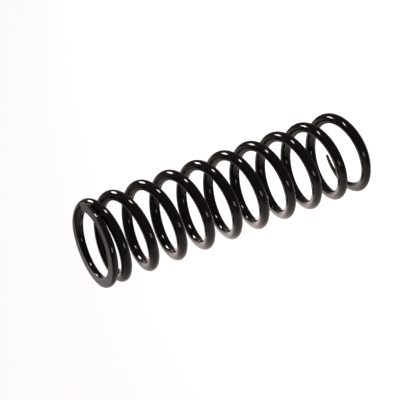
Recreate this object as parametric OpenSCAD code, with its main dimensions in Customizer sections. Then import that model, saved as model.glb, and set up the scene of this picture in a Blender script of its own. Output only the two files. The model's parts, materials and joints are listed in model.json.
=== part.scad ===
// Suspension spring: a helical compression spring of one round wire, wound right-handed, ground flat at both
// ends and painted. The upper end turn lies almost flat with its tip on the turn below, and the lower one
// opens from its tip. The spring stands on its lower ground face, with +Z along the coil's axis and the
// upper tip towards +X.

/* [Coil] */
// Diameter of the round wire
wire_d = 12; // [8:0.5:15]
// Diameter of the clear space inside the turns
inner_d = 76; // [60:1:110]
// Height on the axis, with no load on the spring
free_h = 340; // [260:1:440]
// Turns of wire from tip to tip
turns = 10.73; // [8.5:0.01:12.5]

/* [Lower end] */
// Rise of the wire per turn at its tip
lower_pitch = 12; // [2:0.5:16]
// Turns that keep this rise
lower_flat_turns = 0; // [0:0.05:0.75]
// Turns over which the full pitch is reached
lower_ramp_turns = 0.75; // [0.5:0.05:2]
// Thickness that grinding leaves where the end turn begins
lower_left = 1; // [1:0.25:8]

/* [Upper end] */
// Rise of the wire per turn in the end turn
upper_pitch = 4; // [2:0.5:16]
// Turns that keep this rise
upper_flat_turns = 0.25; // [0:0.05:0.75]
// Turns over which the full pitch is reached
upper_ramp_turns = 1.5; // [0.5:0.05:2]
// Thickness that grinding leaves where the end turn begins, before its tip climbs
upper_left = 6; // [3:0.25:8]
// Degrees by which the ground face is out of square, higher towards -Y
upper_lean = 2.5; // [0:0.5:4]

/* [Fit] */
// Gap that a tip keeps to the turn it lies on
closed_gap = 0.2; // [0.1:0.1:1]
// Height over which a tip eases onto that turn
tip_ease = 2.5; // [0.5:0.25:4]

/* [Surface] */
// Flat sides around the wire
wire_sides = 14; // [8:2:16]
// Steps of the sweep in one turn
turn_steps = 36; // [24:4:40]

/* [Hidden] */
wire_r = wire_d / 2;
coil_r = (inner_d + wire_d) / 2;
outer_d = inner_d + 2 * wire_d;

// Height of the wire's centre where each end turn begins
lower_z = lower_left - wire_r;
upper_z = free_h - upper_left + wire_r;

// Full pitch, so that the spring comes to its free height
full_pitch =
    (upper_z - lower_z - lower_pitch * lower_slow(turns) - upper_pitch * upper_slow(turns))
    / (turns - lower_slow(turns) - upper_slow(turns));

// Block that stands for what the grinding wheel takes off at one end
grind_w = outer_d + wire_d;
grind_h = 2 * wire_d;

steps = ceil(turns * turn_steps);
half_step = turns / steps / 2;

// Running sum of a ramp that starts at x = low and has risen to 1 at x = low + width: a parabola, then a line
function eased(x, low, width) =
    let (past = max(x - low, 0), bend = min(past, width))
    bend * bend / (2 * width) + past - bend;

// How many of the first s turns from an end count at its own rise, and not at the full pitch
function lower_slow(s) = s - eased(s, lower_flat_turns, lower_ramp_turns);
function upper_slow(s) = s - eased(s, upper_flat_turns, upper_ramp_turns);

// Rise of the wire's centre over the first u turns above the lower tip, before the tips climb
function wound(u) =
    let (lower = lower_slow(u), upper = upper_slow(turns) - upper_slow(turns - u))
    lower_pitch * lower + upper_pitch * upper + full_pitch * (u - lower - upper);

// How far a tip moves off so that it clears the turn next to it, from the rise between the two
function climb(rise) = eased(wire_d + closed_gap - rise, -tip_ease, 2 * tip_ease);

// The wire's centre line there: its height, its angle around the axis and its lead angle
function wire_z(u) =
    lower_z + wound(u)
    + (u > turns / 2 ? climb(wound(u) - wound(u - 1)) : -climb(wound(u + 1) - wound(u)));
function wire_turn(u) = 360 * (u - turns);
function wire_lead(u) =
    atan2(wire_z(u + half_step) - wire_z(u - half_step), 2 * PI * coil_r * 2 * half_step);

// Round section of the wire, square to its run
function section(u) =
    let (turn = wire_turn(u), lead = wire_lead(u), height = wire_z(u))
    [for (side = [0 : wire_sides - 1])
        let (
            around = 360 * side / wire_sides,
            out = coil_r + wire_r * cos(around),
            back = -wire_r * sin(around) * sin(lead),
            up = wire_r * sin(around) * cos(lead)
        )
        [out * cos(turn) - back * sin(turn), out * sin(turn) + back * cos(turn), height + up]
    ];

// Skin of the wire: two triangles for each side of each step
function skin() = [
    for (ring = [0 : steps - 1], side = [0 : wire_sides - 1])
        let (
            a = ring * wire_sides + side,
            b = ring * wire_sides + (side + 1) % wire_sides,
            c = b + wire_sides,
            d = a + wire_sides
        )
        each [[a, b, c], [a, c, d]]
];

// Wire as wound, cut off square at both tips
module wound_wire() {
    sections = [for (ring = [0 : steps]) each section(turns * ring / steps)];
    lower_cap = [for (side = [wire_sides - 1 : -1 : 0]) side];
    upper_cap = [for (side = [0 : wire_sides - 1]) steps * wire_sides + side];
    polyhedron(points = sections, faces = concat([lower_cap], skin(), [upper_cap]), convexity = 24);
}

module grinding_block() {
    translate([-grind_w / 2, -grind_w / 2, 0])
        cube([grind_w, grind_w, grind_h]);
}

// Wound wire with both ends ground off, painted all over
module coil_spring() {
    difference() {
        color([0.03, 0.03, 0.035]) wound_wire();
        color([0.05, 0.05, 0.052]) {
            translate([0, 0, -grind_h]) grinding_block();
            translate([0, 0, free_h]) rotate([-upper_lean, 0, 0]) grinding_block();
        }
    }
}

coil_spring();
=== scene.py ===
"""Looks of a suspension spring: the wound wire with its ground ends, its paint, the studio and the camera.

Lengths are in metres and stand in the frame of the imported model: +Z runs along the coil's axis, and the
spring stands on its lower ground face. The coil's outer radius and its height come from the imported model.
"""
import json
import logging
import math
from dataclasses import dataclass
from enum import Enum

import bpy
import numpy as np
from mathutils import Matrix, Vector


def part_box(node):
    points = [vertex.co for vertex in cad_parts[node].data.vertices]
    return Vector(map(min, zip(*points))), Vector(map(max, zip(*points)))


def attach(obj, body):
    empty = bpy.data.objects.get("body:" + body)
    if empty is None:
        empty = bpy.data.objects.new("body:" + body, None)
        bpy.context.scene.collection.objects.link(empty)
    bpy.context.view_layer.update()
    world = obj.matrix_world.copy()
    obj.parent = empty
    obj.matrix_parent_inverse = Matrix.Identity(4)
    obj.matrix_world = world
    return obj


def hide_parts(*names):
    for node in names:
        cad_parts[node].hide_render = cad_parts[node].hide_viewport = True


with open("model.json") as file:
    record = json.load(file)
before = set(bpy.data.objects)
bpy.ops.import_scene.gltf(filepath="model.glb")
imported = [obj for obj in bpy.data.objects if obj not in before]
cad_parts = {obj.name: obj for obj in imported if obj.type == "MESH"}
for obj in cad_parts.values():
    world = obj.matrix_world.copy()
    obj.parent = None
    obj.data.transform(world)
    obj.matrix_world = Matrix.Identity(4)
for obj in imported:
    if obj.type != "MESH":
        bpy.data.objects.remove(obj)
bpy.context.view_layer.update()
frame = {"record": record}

LOG = logging.getLogger("suspension_spring")
MM = 0.001
X_AXIS, Y_AXIS, COIL_AXIS = (Vector(axis) for axis in ((1, 0, 0), (0, 1, 0), (0, 0, 1)))
WHITE, BLACK = (1.0, 1.0, 1.0), (0.0, 0.0, 0.0)

Triple = tuple[float, float, float]
Socket = bpy.types.NodeSocket
NodeInputs = dict[str | int, Socket | float | Vector | tuple[float, ...]]


class WireEnd(Enum):
    """The two ends of the wire, with the way along the axis that each one faces."""

    LOWER = -1.0
    UPPER = 1.0


def eased(place: np.ndarray, low: float, width: float) -> np.ndarray:
    """Adds up a ramp from its foot: nothing at first, a parabola while it rises, then a line of slope one.

    Args:
        place: Where the sum is asked for.
        low: Place where the ramp starts.
        width: Length over which the ramp rises from 0 to 1.

    Returns:
        The running sum at each place.
    """
    past = np.maximum(place - low, 0.0)
    bend = np.minimum(past, width)
    return bend**2 / (2 * width) + past - bend


def opaque(colour: Triple) -> tuple[float, float, float, float]:
    """Returns a colour with full alpha, as the shader sockets take it."""
    return (*colour, 1.0)


def standing(place: Vector, axes: tuple[Vector, Vector, Vector]) -> Matrix:
    """Returns the matrix that puts a lamp or the camera at a place, its own axes along the three given."""
    return Matrix.Translation(place) @ Matrix(axes).transposed().to_4x4()


class NodeTree:
    """A short way to lay out shader nodes: each call adds one node or a few and links their inputs."""

    def __init__(self, tree: bpy.types.NodeTree) -> None:
        """Takes a node tree to fill, and empties it."""
        self.tree = tree
        tree.nodes.clear()

    def add(self, kind: str, inputs: NodeInputs | None = None, **settings: object) -> bpy.types.Node:
        """Adds one node.

        Args:
            kind: Type name of the node, such as ShaderNodeMath.
            inputs: What each input gets, by name or number: a socket to link, or a value to set.
            settings: Properties of the node itself, such as operation.

        Returns:
            The new node.
        """
        node = self.tree.nodes.new(kind)
        for name, value in settings.items():
            setattr(node, name, value)
        for key, value in (inputs or {}).items():
            if isinstance(value, Socket):
                self.tree.links.new(value, node.inputs[key])
            else:
                node.inputs[key].default_value = value
        return node

    def math(self, operation: str, first: Socket | float, second: Socket | float = 0.0) -> Socket:
        """Adds a Math node of two terms and returns its result."""
        return self.add("ShaderNodeMath", {0: first, 1: second}, operation=operation).outputs[0]

    def noise(self, place: Socket, scale: float, detail: float) -> Socket:
        """Adds soft noise with that many waves a metre and octaves of detail, and returns its level."""
        inputs = {"Vector": place, "Scale": scale, "Detail": detail}
        return self.add("ShaderNodeTexNoise", inputs).outputs["Fac"]

    def around(self, share: Socket, middle: float, spread: float) -> Socket:
        """Returns a number that goes with the share from half the spread under the middle to half over."""
        ends = {"To Min": middle - spread / 2, "To Max": middle + spread / 2}
        return self.add("ShaderNodeMapRange", {"Value": share, **ends}).outputs[0]

    def bell(self, place: Socket, middle: float, width: float) -> Socket:
        """Returns a bell curve: e to the power of minus half the square of the distance over the width."""
        away = self.math("DIVIDE", self.math("SUBTRACT", place, middle), width)
        return self.math("EXPONENT", self.math("MULTIPLY", self.math("MULTIPLY", away, away), -0.5))

    def bump(self, level: Socket, height: float, under: Socket | None = None) -> Socket:
        """Adds a bump, by itself or on top of another one.

        Args:
            level: Where the bump is high: 1 at its highest, 0 at its lowest.
            height: What a level of 1 comes to in metres.
            under: Normal of the bump that this one lies on.

        Returns:
            The normal of the bumped surface.
        """
        below = {} if under is None else {"Normal": under}
        inputs = {"Height": level, "Distance": height, "Strength": 1.0, **below}
        return self.add("ShaderNodeBump", inputs).outputs[0]

    def surface(self, inputs: NodeInputs) -> None:
        """Adds the Principled shader with these inputs and the material's output."""
        shader = self.add("ShaderNodeBsdfPrincipled", inputs)
        self.add("ShaderNodeOutputMaterial", {"Surface": shader.outputs[0]})


def blank_material(name: str) -> tuple[bpy.types.Material, NodeTree]:
    """Makes a material whose node tree is still empty.

    Args:
        name: Name of the material.

    Returns:
        The material and its node tree.
    """
    material = bpy.data.materials.new(name)
    material.use_nodes = True
    return material, NodeTree(material.node_tree)


@dataclass(frozen=True)
class GlossPaint:
    """Stoved gloss black paint on the whole spring, thin and dull over the grinding marks of both ends,
    where its lighter grey is partly a painted reflection of the pale table.
    """

    name: str = "gloss_black_paint"
    colour: Triple = (0.0026, 0.0020, 0.0024)
    ground_grey_and_reflection: Triple = (0.130, 0.142, 0.134)
    roughness: float = 0.075
    roughness_spread: float = 0.04
    ground_roughness: float = 0.28
    ground_roughness_spread: float = 0.16
    ior: float = 1.5
    cloud_scale: float = 60.0
    cloud_detail: float = 3.0
    peel_scale: float = 420.0
    peel_detail: float = 1.5
    peel_height: float = 0.02 * MM
    marks_scale: Triple = (2600.0, 90.0, 90.0)
    marks_detail: float = 3.0
    marks_height: float = 0.03 * MM

    def material(self) -> bpy.types.Material:
        """Builds the paint as one Principled shader in Object coordinates.

        Orange peel is fine noise in the height, and coarser noise changes the gloss. Over the attribute
        `ground`, noise stretched into lines gives the wheel's marks, and the paint turns duller and lighter
        grey. That grey is partly a painted reflection of the pale table.

        Returns:
            The material.
        """
        material, nodes = blank_material(self.name)
        place = nodes.add("ShaderNodeTexCoord").outputs["Object"]
        ground = nodes.add("ShaderNodeAttribute", attribute_name="ground").outputs["Fac"]
        stretched = nodes.add("ShaderNodeMapping", {"Vector": place, "Scale": self.marks_scale}).outputs[0]
        peel = nodes.noise(place, self.peel_scale, self.peel_detail)
        cloud = nodes.noise(place, self.cloud_scale, self.cloud_detail)
        marks = nodes.noise(stretched, 1.0, self.marks_detail)

        smooth = nodes.around(cloud, self.roughness, self.roughness_spread)
        dull = nodes.around(marks, self.ground_roughness, self.ground_roughness_spread)
        rough = nodes.add("ShaderNodeMix", {0: ground, 2: smooth, 3: dull}, data_type="FLOAT").outputs[0]
        # The ground faces' grey is partly duller paint and partly a painted reflection of the pale table.
        colours = {0: ground, 6: opaque(self.colour), 7: opaque(self.ground_grey_and_reflection)}
        colour = nodes.add("ShaderNodeMix", colours, data_type="RGBA").outputs[2]

        skin = nodes.bump(peel, self.peel_height)
        wheel = nodes.bump(nodes.math("MULTIPLY", marks, ground), self.marks_height, skin)
        nodes.surface({"Base Color": colour, "Roughness": rough, "Normal": wheel, "IOR": self.ior})
        return material


@dataclass(frozen=True)
class EndTurn:
    """How one end of the spring is wound and ground.

    The wire rises by `pitch` metres a turn over the `flat` first turns, and then its rise grows to the full
    pitch over `ramp` turns. Grinding leaves `left` metres of it where it begins, and the ground face is out
    of square by `lean` degrees: it rises towards -Y.
    """

    end: WireEnd
    pitch: float
    flat: float
    ramp: float
    left: float
    lean: float = 0.0

    def slow(self, turns_in: np.ndarray) -> np.ndarray:
        """Returns how many of the first turns count at this end's own pitch, and not at the full pitch."""
        return turns_in - eased(turns_in, self.flat, self.ramp)

    @property
    def facing(self) -> np.ndarray:
        """Unit normal of the ground face, out of the spring."""
        lean = math.radians(self.lean)
        return self.end.value * np.array([0.0, math.sin(lean), math.cos(lean)])


@dataclass(frozen=True)
class CoilSpring:
    """The spring as one wire, swept along its helix and ground flat at both ends.

    A tip keeps `closed_gap` to the turn next to it, and starts to move off it while `tip_ease` is still left
    above that gap. The edges along the ground faces are rounded by `edge_r`, or by `edge_share` of the
    wire's thickness where that is less, and the tips by `tip_edge_share` of that, in `tip_rings` steps.
    Points lie `edge_weight` times as close on a rounded edge as elsewhere, and the change from ground to
    round takes at least `edge_turn` radians of it.
    """

    outer_r: float
    height: float
    name: str = "coil_spring_wire"
    wire_d: float = 12 * MM
    turns: float = 10.73
    closed_gap: float = 0.2 * MM
    tip_ease: float = 2.5 * MM
    lower: EndTurn = EndTurn(WireEnd.LOWER, pitch=12 * MM, flat=0.0, ramp=0.75, left=1 * MM)
    upper: EndTurn = EndTurn(WireEnd.UPPER, pitch=4 * MM, flat=0.25, ramp=1.5, left=6 * MM, lean=2.5)
    edge_r: float = 0.45 * MM
    edge_share: float = 0.12
    edge_turn: float = 0.12
    edge_weight: float = 6.0
    tip_edge_share: float = 0.9
    tip_rings: int = 3
    rings_per_turn: int = 96
    columns: int = 72
    paint: GlossPaint = GlossPaint()

    @property
    def wire_r(self) -> float:
        """Radius of the wire."""
        return self.wire_d / 2

    @property
    def coil_r(self) -> float:
        """Radius of the helix that the wire's centre follows."""
        return self.outer_r - self.wire_r

    def wound(self, along: np.ndarray) -> np.ndarray:
        """Works out the helix without its tips: each end's own pitch at first, the full pitch elsewhere.

        Args:
            along: Turns from the lower tip.

        Returns:
            The rise of the wire's centre from the lower tip to each place.
        """
        whole = np.array(self.turns)
        ends = self.lower.pitch * self.lower.slow(whole) + self.upper.pitch * self.upper.slow(whole)
        full_turns = whole - self.lower.slow(whole) - self.upper.slow(whole)
        full_pitch = (self.height - self.upper.left - self.lower.left + self.wire_d - ends) / full_turns
        low = self.lower.slow(along)
        high = self.upper.slow(whole) - self.upper.slow(self.turns - along)
        return self.lower.pitch * low + self.upper.pitch * high + full_pitch * (along - low - high)

    def climb(self, rise: np.ndarray) -> np.ndarray:
        """Returns how far a tip moves off the turn next to it: the rise that wire and gap lack, eased."""
        return eased(self.wire_d + self.closed_gap - rise, -self.tip_ease, 2 * self.tip_ease)

    def heights(self, along: np.ndarray) -> np.ndarray:
        """Adds to the wound helix how far the upper tip climbs and how far the lower one drops.

        Args:
            along: Turns from the lower tip.

        Returns:
            The height of the wire's centre at each place.
        """
        here = self.wound(along)
        up = self.climb(here - self.wound(along - 1))
        down = self.climb(self.wound(along + 1) - here)
        return self.lower.left - self.wire_r + here + np.where(along > self.turns / 2, up, -down)

    def fillet(self, reach: np.ndarray) -> np.ndarray:
        """Returns the radius of the ground edge, a share of the thickness where the wire is thin."""
        return np.minimum(self.edge_r, self.edge_share * (self.wire_r + np.minimum(reach, self.wire_r)))

    def half_section(self, reach: np.ndarray) -> tuple[np.ndarray, np.ndarray, np.ndarray]:
        """Draws half of the wire's section, from the middle of the side that is ground to the far side.

        The section is a circle cut by a line at `reach` from its centre. It runs along the line, round a
        small fillet that touches both line and circle, and then along the circle. Points are spread by
        length, with the fillet counted several times over. Where the line misses the circle, the points
        are spread evenly around it.

        Args:
            reach: Distance from the wire's centre to the ground plane for each ring, negative past it.

        Returns:
            Points (rings, half, 2) as (sideways, towards the far side), their unit normals in the same
            axes, and a mask (rings, half) that is 1 on the ground line and falls to 0 over the fillet.
        """
        r = self.wire_r
        cut = np.minimum(reach, r)[:, None]
        fillet = self.fillet(cut)
        turn = np.arccos(np.clip((cut - fillet) / (r - fillet), -1.0, 1.0))
        flat = (r - fillet) * np.sin(turn)
        bend = self.edge_weight * fillet * turn
        arc = r * (np.pi - turn)
        length = np.linspace(0.0, 1.0, self.columns // 2 + 1)[None, :] * (flat + bend + arc)
        on_flat, on_bend = length <= flat, length <= flat + bend
        bend_angle = np.clip((length - flat) / (self.edge_weight * fillet), 0.0, turn)
        arc_angle = np.clip(turn + (length - flat - bend) / r, turn, np.pi)
        angle = np.where(on_bend, bend_angle, arc_angle)
        side, away = np.sin(angle), -np.cos(angle)
        centre_x = np.where(on_bend, np.minimum(length, flat), 0.0)
        centre_y = np.where(on_bend, fillet - cut, 0.0)
        radius = np.where(on_bend, fillet, r)
        points = np.stack([centre_x + radius * side, centre_y + radius * away], -1)
        is_cut = reach[:, None] < r
        ground = np.where(on_flat, 1.0, 1.0 - bend_angle / np.maximum(turn, self.edge_turn))
        return points, np.stack([side, away], -1), np.where(is_cut & on_bend, ground, 0.0)

    def sections(self, reach: np.ndarray, end: WireEnd) -> tuple[np.ndarray, np.ndarray, np.ndarray]:
        """Closes each half section with its mirror image, and turns it over for the upper end.

        Args:
            reach: Distance from the wire's centre to this end's ground plane for each ring.
            end: The end whose grinding shapes the rings.

        Returns:
            Points and normals (rings, columns, 2) as (outward, along the upright), and the mask. The
            columns run round from the lowest point, outward first, at both ends.
        """
        mirror = np.array([-1.0, 1.0])
        halves = zip(self.half_section(reach), (mirror, mirror, 1.0))
        points, normals, ground = (
            np.concatenate([half, (half * flip)[:, -2:0:-1]], axis=1) for half, flip in halves
        )
        if end is WireEnd.LOWER:
            return points, normals, ground
        turned = (self.columns // 2 - np.arange(self.columns)) % self.columns
        over = np.array([1.0, -1.0])
        return points[:, turned] * over, normals[:, turned] * over, ground[:, turned]

    def rings(self) -> tuple[np.ndarray, np.ndarray, np.ndarray]:
        """Spreads the rings evenly along the wire, and repeats the first and the last to round off the tips.

        Returns:
            Three numbers for each ring: the turns from the lower tip, the angle of the rounding, which is
            0 along the wire and grows to a right angle at both tips, and the radius of the rounding.
        """
        low_tip, high_tip = self.heights(np.array([0.0, self.turns]))
        tip_edge = self.tip_edge_share * self.fillet(np.array([low_tip, self.height - high_tip]))
        inset = tip_edge / (2 * np.pi * self.coil_r)
        body = np.linspace(inset[0], self.turns - inset[1], round(self.turns * self.rings_per_turn) + 1)
        along = np.pad(body, self.tip_rings, mode="edge")
        quarter = np.linspace(0.0, np.pi / 2, self.tip_rings + 1)[1:]
        rounding = np.concatenate([quarter[::-1], np.zeros(len(body)), quarter])
        return along, rounding, np.where(along < self.turns / 2, *tip_edge)

    def centre_line(self, along: np.ndarray) -> tuple[np.ndarray, np.ndarray]:
        """Follows the helix: a circle around the axis, at the height of the wire's centre.

        Args:
            along: Turns from the lower tip.

        Returns:
            The wire's centre (rings, 3), and the unit direction (rings, 3) in which it runs, upwards.
        """
        angle = 2 * np.pi * (along - self.turns)
        across, ahead = self.coil_r * np.cos(angle), self.coil_r * np.sin(angle)
        step = 0.5 / self.rings_per_turn
        slope = (self.heights(along + step) - self.heights(along - step)) / (4 * np.pi * step)
        centre = np.stack([across, ahead, self.heights(along)], -1)
        run = np.stack([-ahead, across, slope], -1)
        return centre, run / np.linalg.norm(run, axis=1, keepdims=True)

    def surface(self) -> tuple[np.ndarray, np.ndarray, np.ndarray]:
        """Sweeps the section square to the wire along the helix, and rounds the wire off at both tips.

        At each ring the section's upright is the nearer ground face's normal, taken upwards and made square
        to the wire, and its outward axis is square to both. At a tip the last rings move on by the
        rounding's radius times the sine of its angle, and draw in along their normals by that radius times
        one less its cosine. A point that is then past the ground plane is moved straight back onto it.

        Returns:
            Points and unit normals (rings, columns, 3), and the ground mask (rings, columns).
        """
        along, rounding, edge = self.rings()
        centre, onward = self.centre_line(along)
        is_low = along < self.turns / 2
        way = np.where(is_low, WireEnd.LOWER.value, WireEnd.UPPER.value)[:, None]
        face = np.where(is_low[:, None], self.lower.facing, self.upper.facing)
        origin = np.where(is_low[:, None], 0.0, np.array([0.0, 0.0, self.height]))
        square = face - (face * onward).sum(1, keepdims=True) * onward
        tilt = np.linalg.norm(square, axis=1)
        upright = way * square / tilt[:, None]
        outward = np.cross(onward, upright)
        reach = ((origin - centre) * face).sum(1) / tilt

        low, high = self.sections(reach, WireEnd.LOWER), self.sections(reach, WireEnd.UPPER)
        shape, facing = (np.where(is_low[:, None, None], a, b) for a, b in zip(low[:2], high[:2]))
        ground = np.where(is_low[:, None], low[2], high[2])
        shape = shape - (edge * (1 - np.cos(rounding)))[:, None, None] * facing
        centre = centre + (edge * np.sin(rounding))[:, None] * way * onward

        points = centre[:, None] + shape[..., :1] * outward[:, None] + shape[..., 1:] * upright[:, None]
        past = ((points - origin[:, None]) * face[:, None]).sum(-1, keepdims=True)
        points = points - np.maximum(past, 0.0) * face[:, None]
        normals = facing[..., :1] * outward[:, None] + facing[..., 1:] * upright[:, None]
        normals = np.where((ground >= 1.0)[..., None], face[:, None], normals)
        lean = rounding[:, None, None]
        normals = np.cos(lean) * normals + np.sin(lean) * (way * onward)[:, None]
        return points, normals / np.linalg.norm(normals, axis=-1, keepdims=True), ground

    def faces(self, rings: int) -> tuple[np.ndarray, np.ndarray]:
        """Joins the rings by quads, and closes each tip with a fan of triangles around its pole.

        Args:
            rings: How many rings there are. The poles are numbered after the points of all rings.

        Returns:
            The corners of the quads (quads, 4) and of the triangles (triangles, 3), seen from outside.
        """
        here = np.arange(self.columns)
        after = (here + 1) % self.columns
        ring = np.arange(rings - 1)[:, None] * self.columns
        corners = [ring + here, ring + self.columns + here, ring + self.columns + after, ring + after]
        first_pole = np.full(self.columns, rings * self.columns)
        last_ring = (rings - 1) * self.columns
        fans = np.concatenate([
            np.stack([first_pole, here, after], -1),
            np.stack([first_pole + 1, last_ring + after, last_ring + here], -1),
        ])
        return np.stack(corners, -1).reshape(-1, 4), fans

    def build(self) -> bpy.types.Object:
        """Makes the mesh from the swept surface, its faces and a pole in the middle of each tip.

        Returns:
            The new object, with the surface's own normals and the point attribute `ground`.
        """
        points, normals, ground = self.surface()
        poles, tips = points[[0, -1]].mean(1), normals[[0, -1]].mean(1)
        tips = tips / np.linalg.norm(tips, axis=1, keepdims=True)
        places = np.concatenate([points.reshape(-1, 3), poles]).astype(np.float32)
        facing = np.concatenate([normals.reshape(-1, 3), tips]).astype(np.float32)
        mask = np.concatenate([ground.ravel(), np.zeros(len(poles))]).astype(np.float32)
        quads, fans = self.faces(len(points))
        corners = np.concatenate([quads.ravel(), fans.ravel()]).astype(np.int32)
        starts = np.concatenate([np.arange(len(quads)) * 4, quads.size + np.arange(len(fans)) * 3])

        mesh = bpy.data.meshes.new(self.name)
        mesh.vertices.add(len(places))
        mesh.vertices.foreach_set("co", places.ravel())
        mesh.loops.add(len(corners))
        mesh.loops.foreach_set("vertex_index", corners)
        mesh.polygons.add(len(starts))
        mesh.polygons.foreach_set("loop_start", starts.astype(np.int32))
        mesh.update(calc_edges=True)
        mesh.validate()
        mesh.attributes.new("ground", "FLOAT", "POINT").data.foreach_set("value", mask)
        mesh.normals_split_custom_set_from_vertices(facing)
        spring = bpy.data.objects.new(self.name, mesh)
        bpy.context.scene.collection.objects.link(spring)
        return spring

    def dress(self, spring: bpy.types.Object) -> None:
        """Paints the spring all over."""
        spring.data.materials.append(self.paint.material())


@dataclass(frozen=True)
class SoftBox:
    """One rectangular studio lamp, turned towards its aim, which lights the spring and isn't seen itself."""

    name: str
    place: Triple
    size: tuple[float, float]
    radiance: float
    spin: float
    colour: Triple
    aim: Triple = (0.0, 0.0, 0.17)

    def build(self, up: Vector) -> bpy.types.Object:
        """Makes the lamp. Before its spin, its first side is square to the studio's upright.

        Args:
            up: The studio's upright direction.

        Returns:
            The lamp's object.
        """
        back = (Vector(self.place) - Vector(self.aim)).normalized()
        side = (-back).cross(up).normalized()
        other = (-back).cross(side)
        spin = math.radians(self.spin)
        first = math.cos(spin) * side + math.sin(spin) * other
        data = bpy.data.lights.new(self.name, "AREA")
        data.shape, data.size, data.size_y = "RECTANGLE", *self.size
        data.color = self.colour
        data.energy = self.radiance * math.pi * self.size[0] * self.size[1]
        lamp = bpy.data.objects.new(self.name, data)
        lamp.matrix_world = standing(Vector(self.place), (first, back.cross(first), back))
        lamp.visible_camera = False
        bpy.context.scene.collection.objects.link(lamp)
        return lamp


def scenery_sheet(name: str, centre: Vector, sides: tuple[Vector, Vector], half: float,
                  material: bpy.types.Material) -> bpy.types.Object:
    """Makes a square sheet: each corner lies half a side from the centre along both directions.

    Args:
        name: Name of the sheet.
        centre: Middle of the sheet.
        sides: Unit directions of its two sides.
        half: Half the length of a side.
        material: What it is made of.

    Returns:
        The sheet's object.
    """
    ends = ((-1, -1), (1, -1), (1, 1), (-1, 1))
    corners = [tuple(centre + half * (a * sides[0] + b * sides[1])) for a, b in ends]
    mesh = bpy.data.meshes.new(name)
    mesh.from_pydata(corners, [], [(0, 1, 2, 3)])
    mesh.materials.append(material)
    sheet = bpy.data.objects.new(name, mesh)
    bpy.context.scene.collection.objects.link(sheet)
    return sheet


@dataclass(frozen=True)
class Patch:
    """One patch of the table top's glow: a bell across the coil's axis times a bell along it.

    Its middle lies `across` and `along` from the point of the table top that is nearest the origin, and
    `width` and `length` are its spreads. A patch of a level under 0 is a shadow.
    """

    level: float
    across: float
    width: float
    along: float
    length: float

    def glow(self, nodes: NodeTree, across: Socket, along: Socket) -> Socket:
        """Adds the nodes of the patch.

        Args:
            nodes: The table top's node tree.
            across: Place on the table top across the coil's axis.
            along: Place on it along the axis.

        Returns:
            What the patch adds to the glow.
        """
        bell_across = nodes.bell(across, self.across, self.width)
        bell_along = nodes.bell(along, self.along, self.length)
        return nodes.math("MULTIPLY", nodes.math("MULTIPLY", bell_across, bell_along), self.level)


@dataclass(frozen=True)
class TableTop:
    """A pale, softly polished table top next to the coils, which lights the spring and isn't seen itself.

    Its glow is `rim` far out. A broad patch, the shadow behind the coils, and a wide and a narrow bright
    strip beneath them add to that. These are painted light and a painted shadow of the coils in its
    glow; no lamp casts them on it.
    """

    name: str = "table_top"
    gap: float = 1 * MM
    half_side: float = 0.9
    roughness: float = 0.35
    tint: Triple = (1.07, 0.93, 0.88)
    rim: float = 0.09
    # Painted light and shade in the glow: a broad pool, a painted shadow of the coils, and two painted
    # bright strips.
    broad: Patch = Patch(0.46, across=0.0, width=0.20, along=0.115, length=0.18)
    shadow: Patch = Patch(-0.36, across=0.090, width=0.022, along=0.115, length=0.18)
    wide_strip: Patch = Patch(0.64, across=-0.008, width=0.034, along=0.12, length=0.125)
    narrow_strip: Patch = Patch(1.15, across=-0.002, width=0.016, along=0.12, length=0.105)

    def material(self, side: Vector) -> bpy.types.Material:
        """Builds the table top's glow, on black with a soft polish.

        Args:
            side: Unit direction in the table top, across the coil's axis.

        Returns:
            The material.
        """
        material, nodes = blank_material("pale_table")
        place = nodes.add("ShaderNodeTexCoord").outputs["Object"]
        across = nodes.add("ShaderNodeVectorMath", {0: place, 1: side}, operation="DOT_PRODUCT")
        along = nodes.add("ShaderNodeSeparateXYZ", {0: place})
        glow = self.rim
        for patch in (self.broad, self.shadow, self.wide_strip, self.narrow_strip):
            light = patch.glow(nodes, across.outputs["Value"], along.outputs["Z"])
            glow = nodes.math("ADD", light, glow)
        nodes.surface({
            "Base Color": opaque(BLACK), "Roughness": self.roughness,
            "Emission Color": opaque(self.tint), "Emission Strength": glow,
        })
        return material

    def build(self, up: Vector, outer_r: float) -> bpy.types.Object:
        """Lays the table top square to the studio's upright, just clear of the coils.

        Args:
            up: The studio's upright direction.
            outer_r: Outer radius of the coil.

        Returns:
            The table top's object.
        """
        side = COIL_AXIS.cross(up).normalized()
        centre = -up * (outer_r + self.gap)
        table = scenery_sheet(self.name, centre, (side, COIL_AXIS), self.half_side, self.material(side))
        table.visible_camera = table.visible_shadow = False
        return table


@dataclass(frozen=True)
class Floor:
    """The floor that the spring stands on. It glows, so that it stays a plain white."""

    name: str = "floor"
    half_side: float = 7.0
    colour: Triple = (0.8, 0.8, 0.8)
    roughness: float = 0.9
    glow: float = 0.86

    def build(self) -> bpy.types.Object:
        """Lays the floor, which the camera sees, but which neither lights the paint nor shows in it.

        Returns:
            The floor's object.
        """
        material, nodes = blank_material("white_floor")
        nodes.surface({
            "Base Color": opaque(self.colour), "Roughness": self.roughness, "Specular IOR Level": 0.0,
            "Emission Color": opaque(WHITE), "Emission Strength": self.glow,
        })
        floor = scenery_sheet(self.name, Vector(), (X_AXIS, Y_AXIS), self.half_side, material)
        floor.visible_glossy = floor.visible_diffuse = False
        return floor


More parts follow.
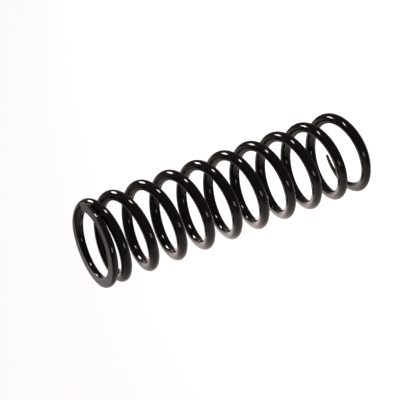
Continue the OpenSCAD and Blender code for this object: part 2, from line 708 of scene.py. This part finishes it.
@dataclass(frozen=True)
class Studio:
    """White floor, a dim room, a pale table top, two lamps and a reflecting card.

    The light has an upright of its own, `up`, square to the coil's axis: the table top is straight below
    in it. So the spring is lit as if it lay on its side on a pale table.
    """

    up: Triple = (0.872, -0.4896, 0.0)
    room: float = 0.134
    tint: Triple = (1.0, 0.80, 0.93)
    floor: Floor = Floor()
    table_top: TableTop = TableTop()
    side_lamp: SoftBox = SoftBox(
        "side_lamp", place=(0.425, 0.331, 0.399), size=(0.157, 0.148), radiance=22.0, spin=-11.0,
        colour=(1.06, 0.98, 0.90),
    )
    top_lamp: SoftBox = SoftBox(
        "top_lamp", place=(0.355, -0.088, 0.224), size=(0.125, 0.057), radiance=22.0, spin=21.0,
        colour=(1.06, 0.98, 0.90),
    )
    front_card: SoftBox = SoftBox(
        "front_card", place=(-0.124, -0.417, 0.186), size=(0.20, 0.086), radiance=3.0, spin=-1.0,
        colour=(1.0, 0.93, 0.89),
    )

    def surroundings(self) -> None:
        """Fills the world with the dim room, which is plain white where the camera sees it."""
        world = bpy.data.worlds.new("studio")
        bpy.context.scene.world = world
        world.use_nodes = True
        nodes = NodeTree(world.node_tree)
        dim = nodes.add("ShaderNodeBackground", {"Color": opaque(self.tint), "Strength": self.room})
        plain = nodes.add("ShaderNodeBackground", {"Color": opaque(WHITE), "Strength": 1.0})
        seen = nodes.add("ShaderNodeLightPath").outputs["Is Camera Ray"]
        mixed = nodes.add("ShaderNodeMixShader", {0: seen, 1: dim.outputs[0], 2: plain.outputs[0]})
        nodes.add("ShaderNodeOutputWorld", {"Surface": mixed.outputs[0]})

    def build(self, outer_r: float) -> None:
        """Builds the floor, the surroundings, the table top and the lamps, and keeps whites plain.

        Args:
            outer_r: Outer radius of the coil.
        """
        up = Vector(self.up)
        self.surroundings()
        scenery = [self.floor.build(), self.table_top.build(up, outer_r)]
        lamps = [lamp.build(up) for lamp in (self.side_lamp, self.top_lamp, self.front_card)]
        for built in scenery + lamps:
            LOG.info("%s: scenery", built.name)
        bpy.context.scene.view_settings.view_transform = "Standard"
        bpy.context.scene.view_settings.look = "None"


@dataclass(frozen=True)
class Camera:
    """The camera, placed around a point by angles and turned about its own line of sight."""

    azimuth: float = 11.57
    elevation: float = 25.41
    roll: float = -110.20
    distance: float = 1.895
    aim: Triple = (0.0051, 0.0007, 0.1993)
    lens: float = 152.1
    sensor: float = 36.0
    nearest: float = 0.05
    furthest: float = 100.0

    def place(self) -> bpy.types.Object:
        """Creates the camera and makes it the scene's own.

        Returns:
            The camera object.
        """
        turn, rise, roll = (math.radians(angle) for angle in (self.azimuth, self.elevation, self.roll))
        back = Vector((math.sin(turn) * math.cos(rise), -math.cos(turn) * math.cos(rise), math.sin(rise)))
        level = Vector((math.cos(turn), math.sin(turn), 0.0))
        upright = back.cross(level)
        right = math.cos(roll) * level + math.sin(roll) * upright
        up = math.cos(roll) * upright - math.sin(roll) * level
        data = bpy.data.cameras.new("camera")
        data.lens, data.sensor_width = self.lens, self.sensor
        data.clip_start, data.clip_end = self.nearest, self.furthest
        camera = bpy.data.objects.new("camera", data)
        camera.matrix_world = standing(Vector(self.aim) + back * self.distance, (right, up, back))
        bpy.context.scene.collection.objects.link(camera)
        bpy.context.scene.camera = camera
        return camera


def main() -> None:
    """Builds the spring, the studio and the camera, and reports each piece."""
    logging.basicConfig(level=logging.INFO, format="%(name)s: %(message)s")
    low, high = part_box("coil_spring")
    outer_r = min(-low.x, -low.y, high.x, high.y)
    upper_seat = next(mount for mount in frame["record"]["mounts"] if mount["name"] == "upper_seat")
    coil = CoilSpring(outer_r=outer_r, height=upper_seat["pos_m"][2])
    spring = coil.build()
    coil.dress(spring)
    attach(spring, "root")
    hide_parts("coil_spring")
    LOG.info("%s: %d faces", spring.name, len(spring.data.polygons))
    Studio().build(outer_r)
    Camera().place()


if __name__ == "__main__":
    main()
